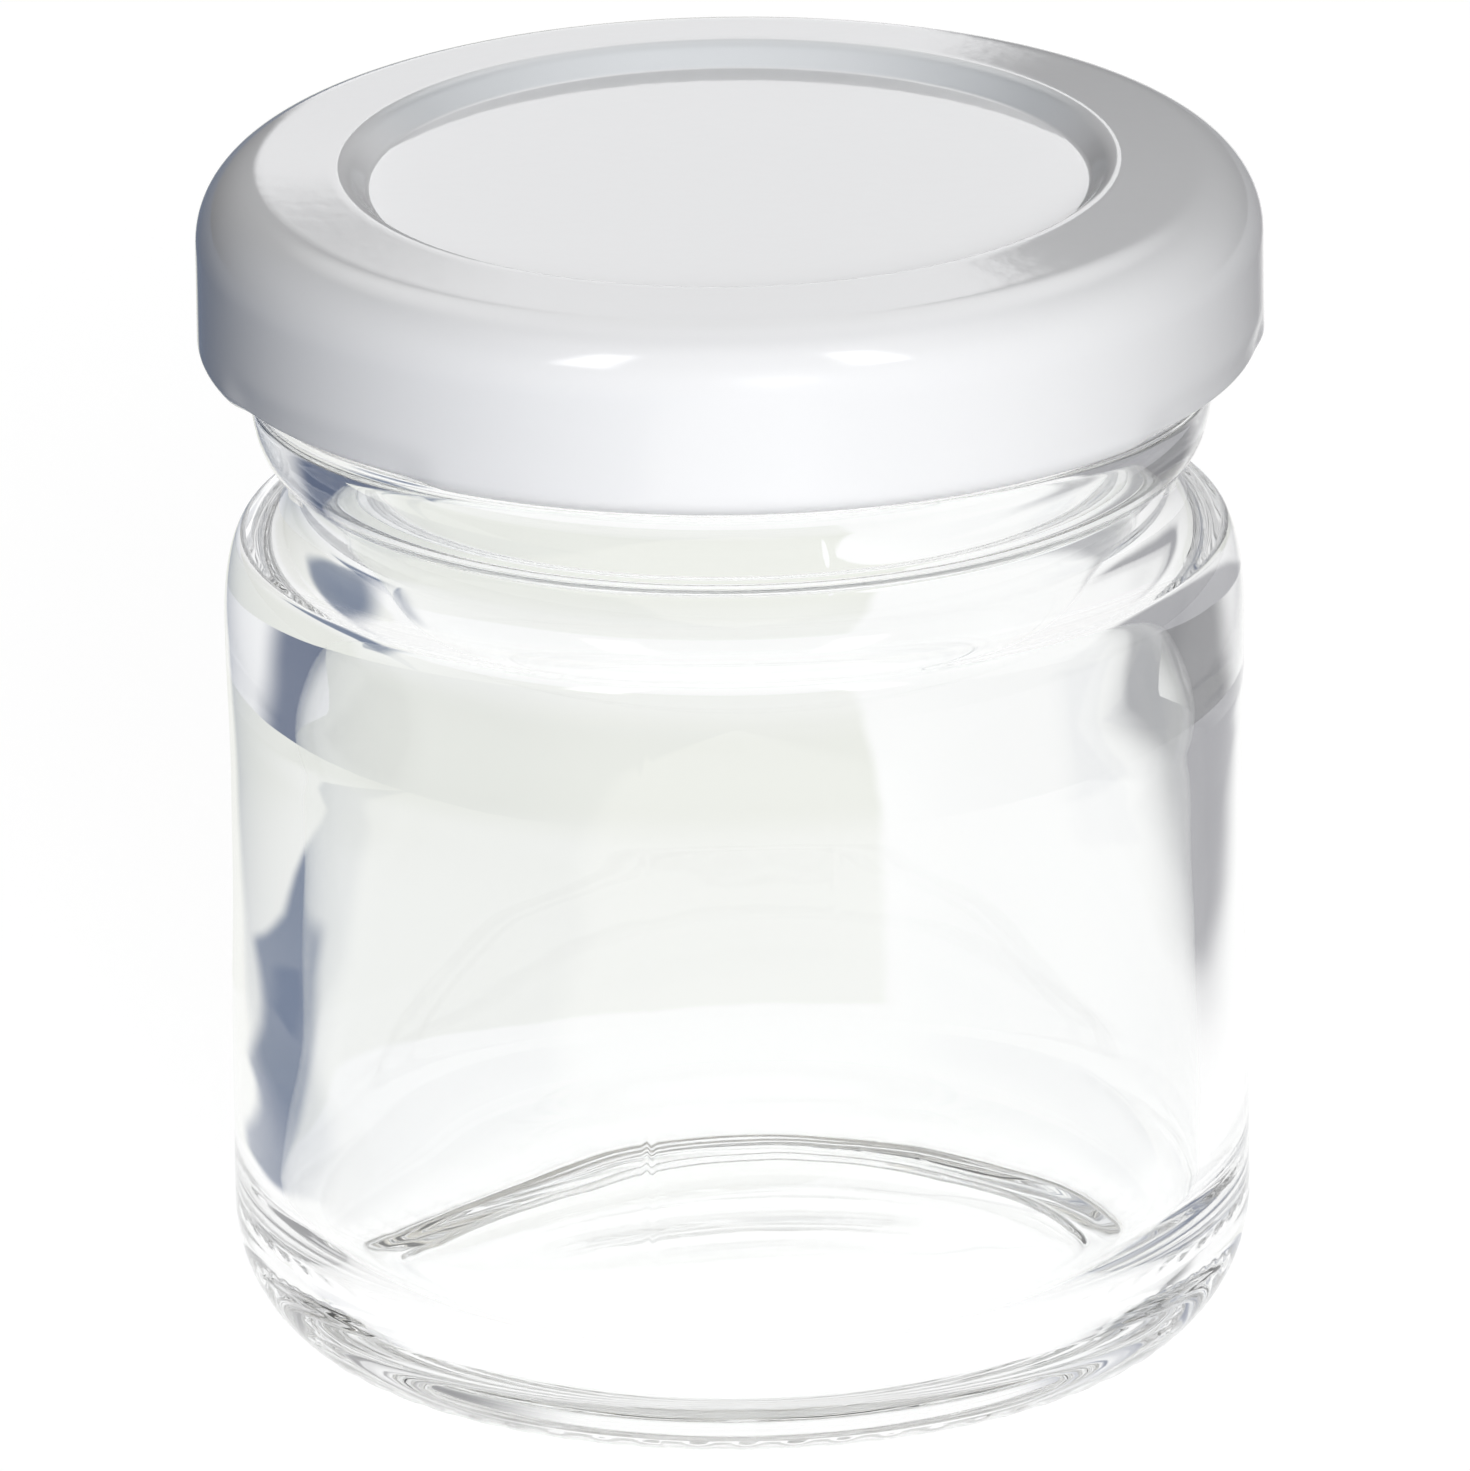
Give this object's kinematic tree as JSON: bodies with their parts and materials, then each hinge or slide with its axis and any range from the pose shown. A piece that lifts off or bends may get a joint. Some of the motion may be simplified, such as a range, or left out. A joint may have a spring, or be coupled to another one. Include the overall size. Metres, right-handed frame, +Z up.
{
  "type": "screw-top jar",
  "caption": "Small clear glass preserve jar with a white twist-off steel cap and a moulded sealing ring inside the cap.",
  "frame": {"origin": "on the jar's axis, in the plane of the foot ring that the jar stands on", "axes": "+Z up along the jar's axis; -Y towards the viewer of the picture; +X to the viewer's right"},
  "size_m": [0.046, 0.046, 0.0523],
  "materials": {
    "jar_glass": "clear, polished",
    "cap_shell": "glossy white lacquer",
    "cap_gasket": "satin"
  },
  "bodies": {
    "jar": {"jar_glass": "jar_glass"},
    "seal": {"cap_gasket": "cap_gasket"},
    "cap": {"cap_shell": "cap_shell"}
  },
  "joints": [
    {"name": "lid_rise", "type": "slide", "parent": "jar", "child": "seal", "axis": [0, 0, 1], "range_m": [0, 0.01441]},
    {"name": "lid_turn", "type": "hinge", "parent": "seal", "child": "cap", "pos_m": [0, 0, 0.0512], "axis": [0, 0, 1], "range_deg": [0, 540]}
  ],
  "couplings": [
    {"joint": "lid_rise", "follows": "lid_turn", "m_per_rad": 0.0015279}
  ]
}
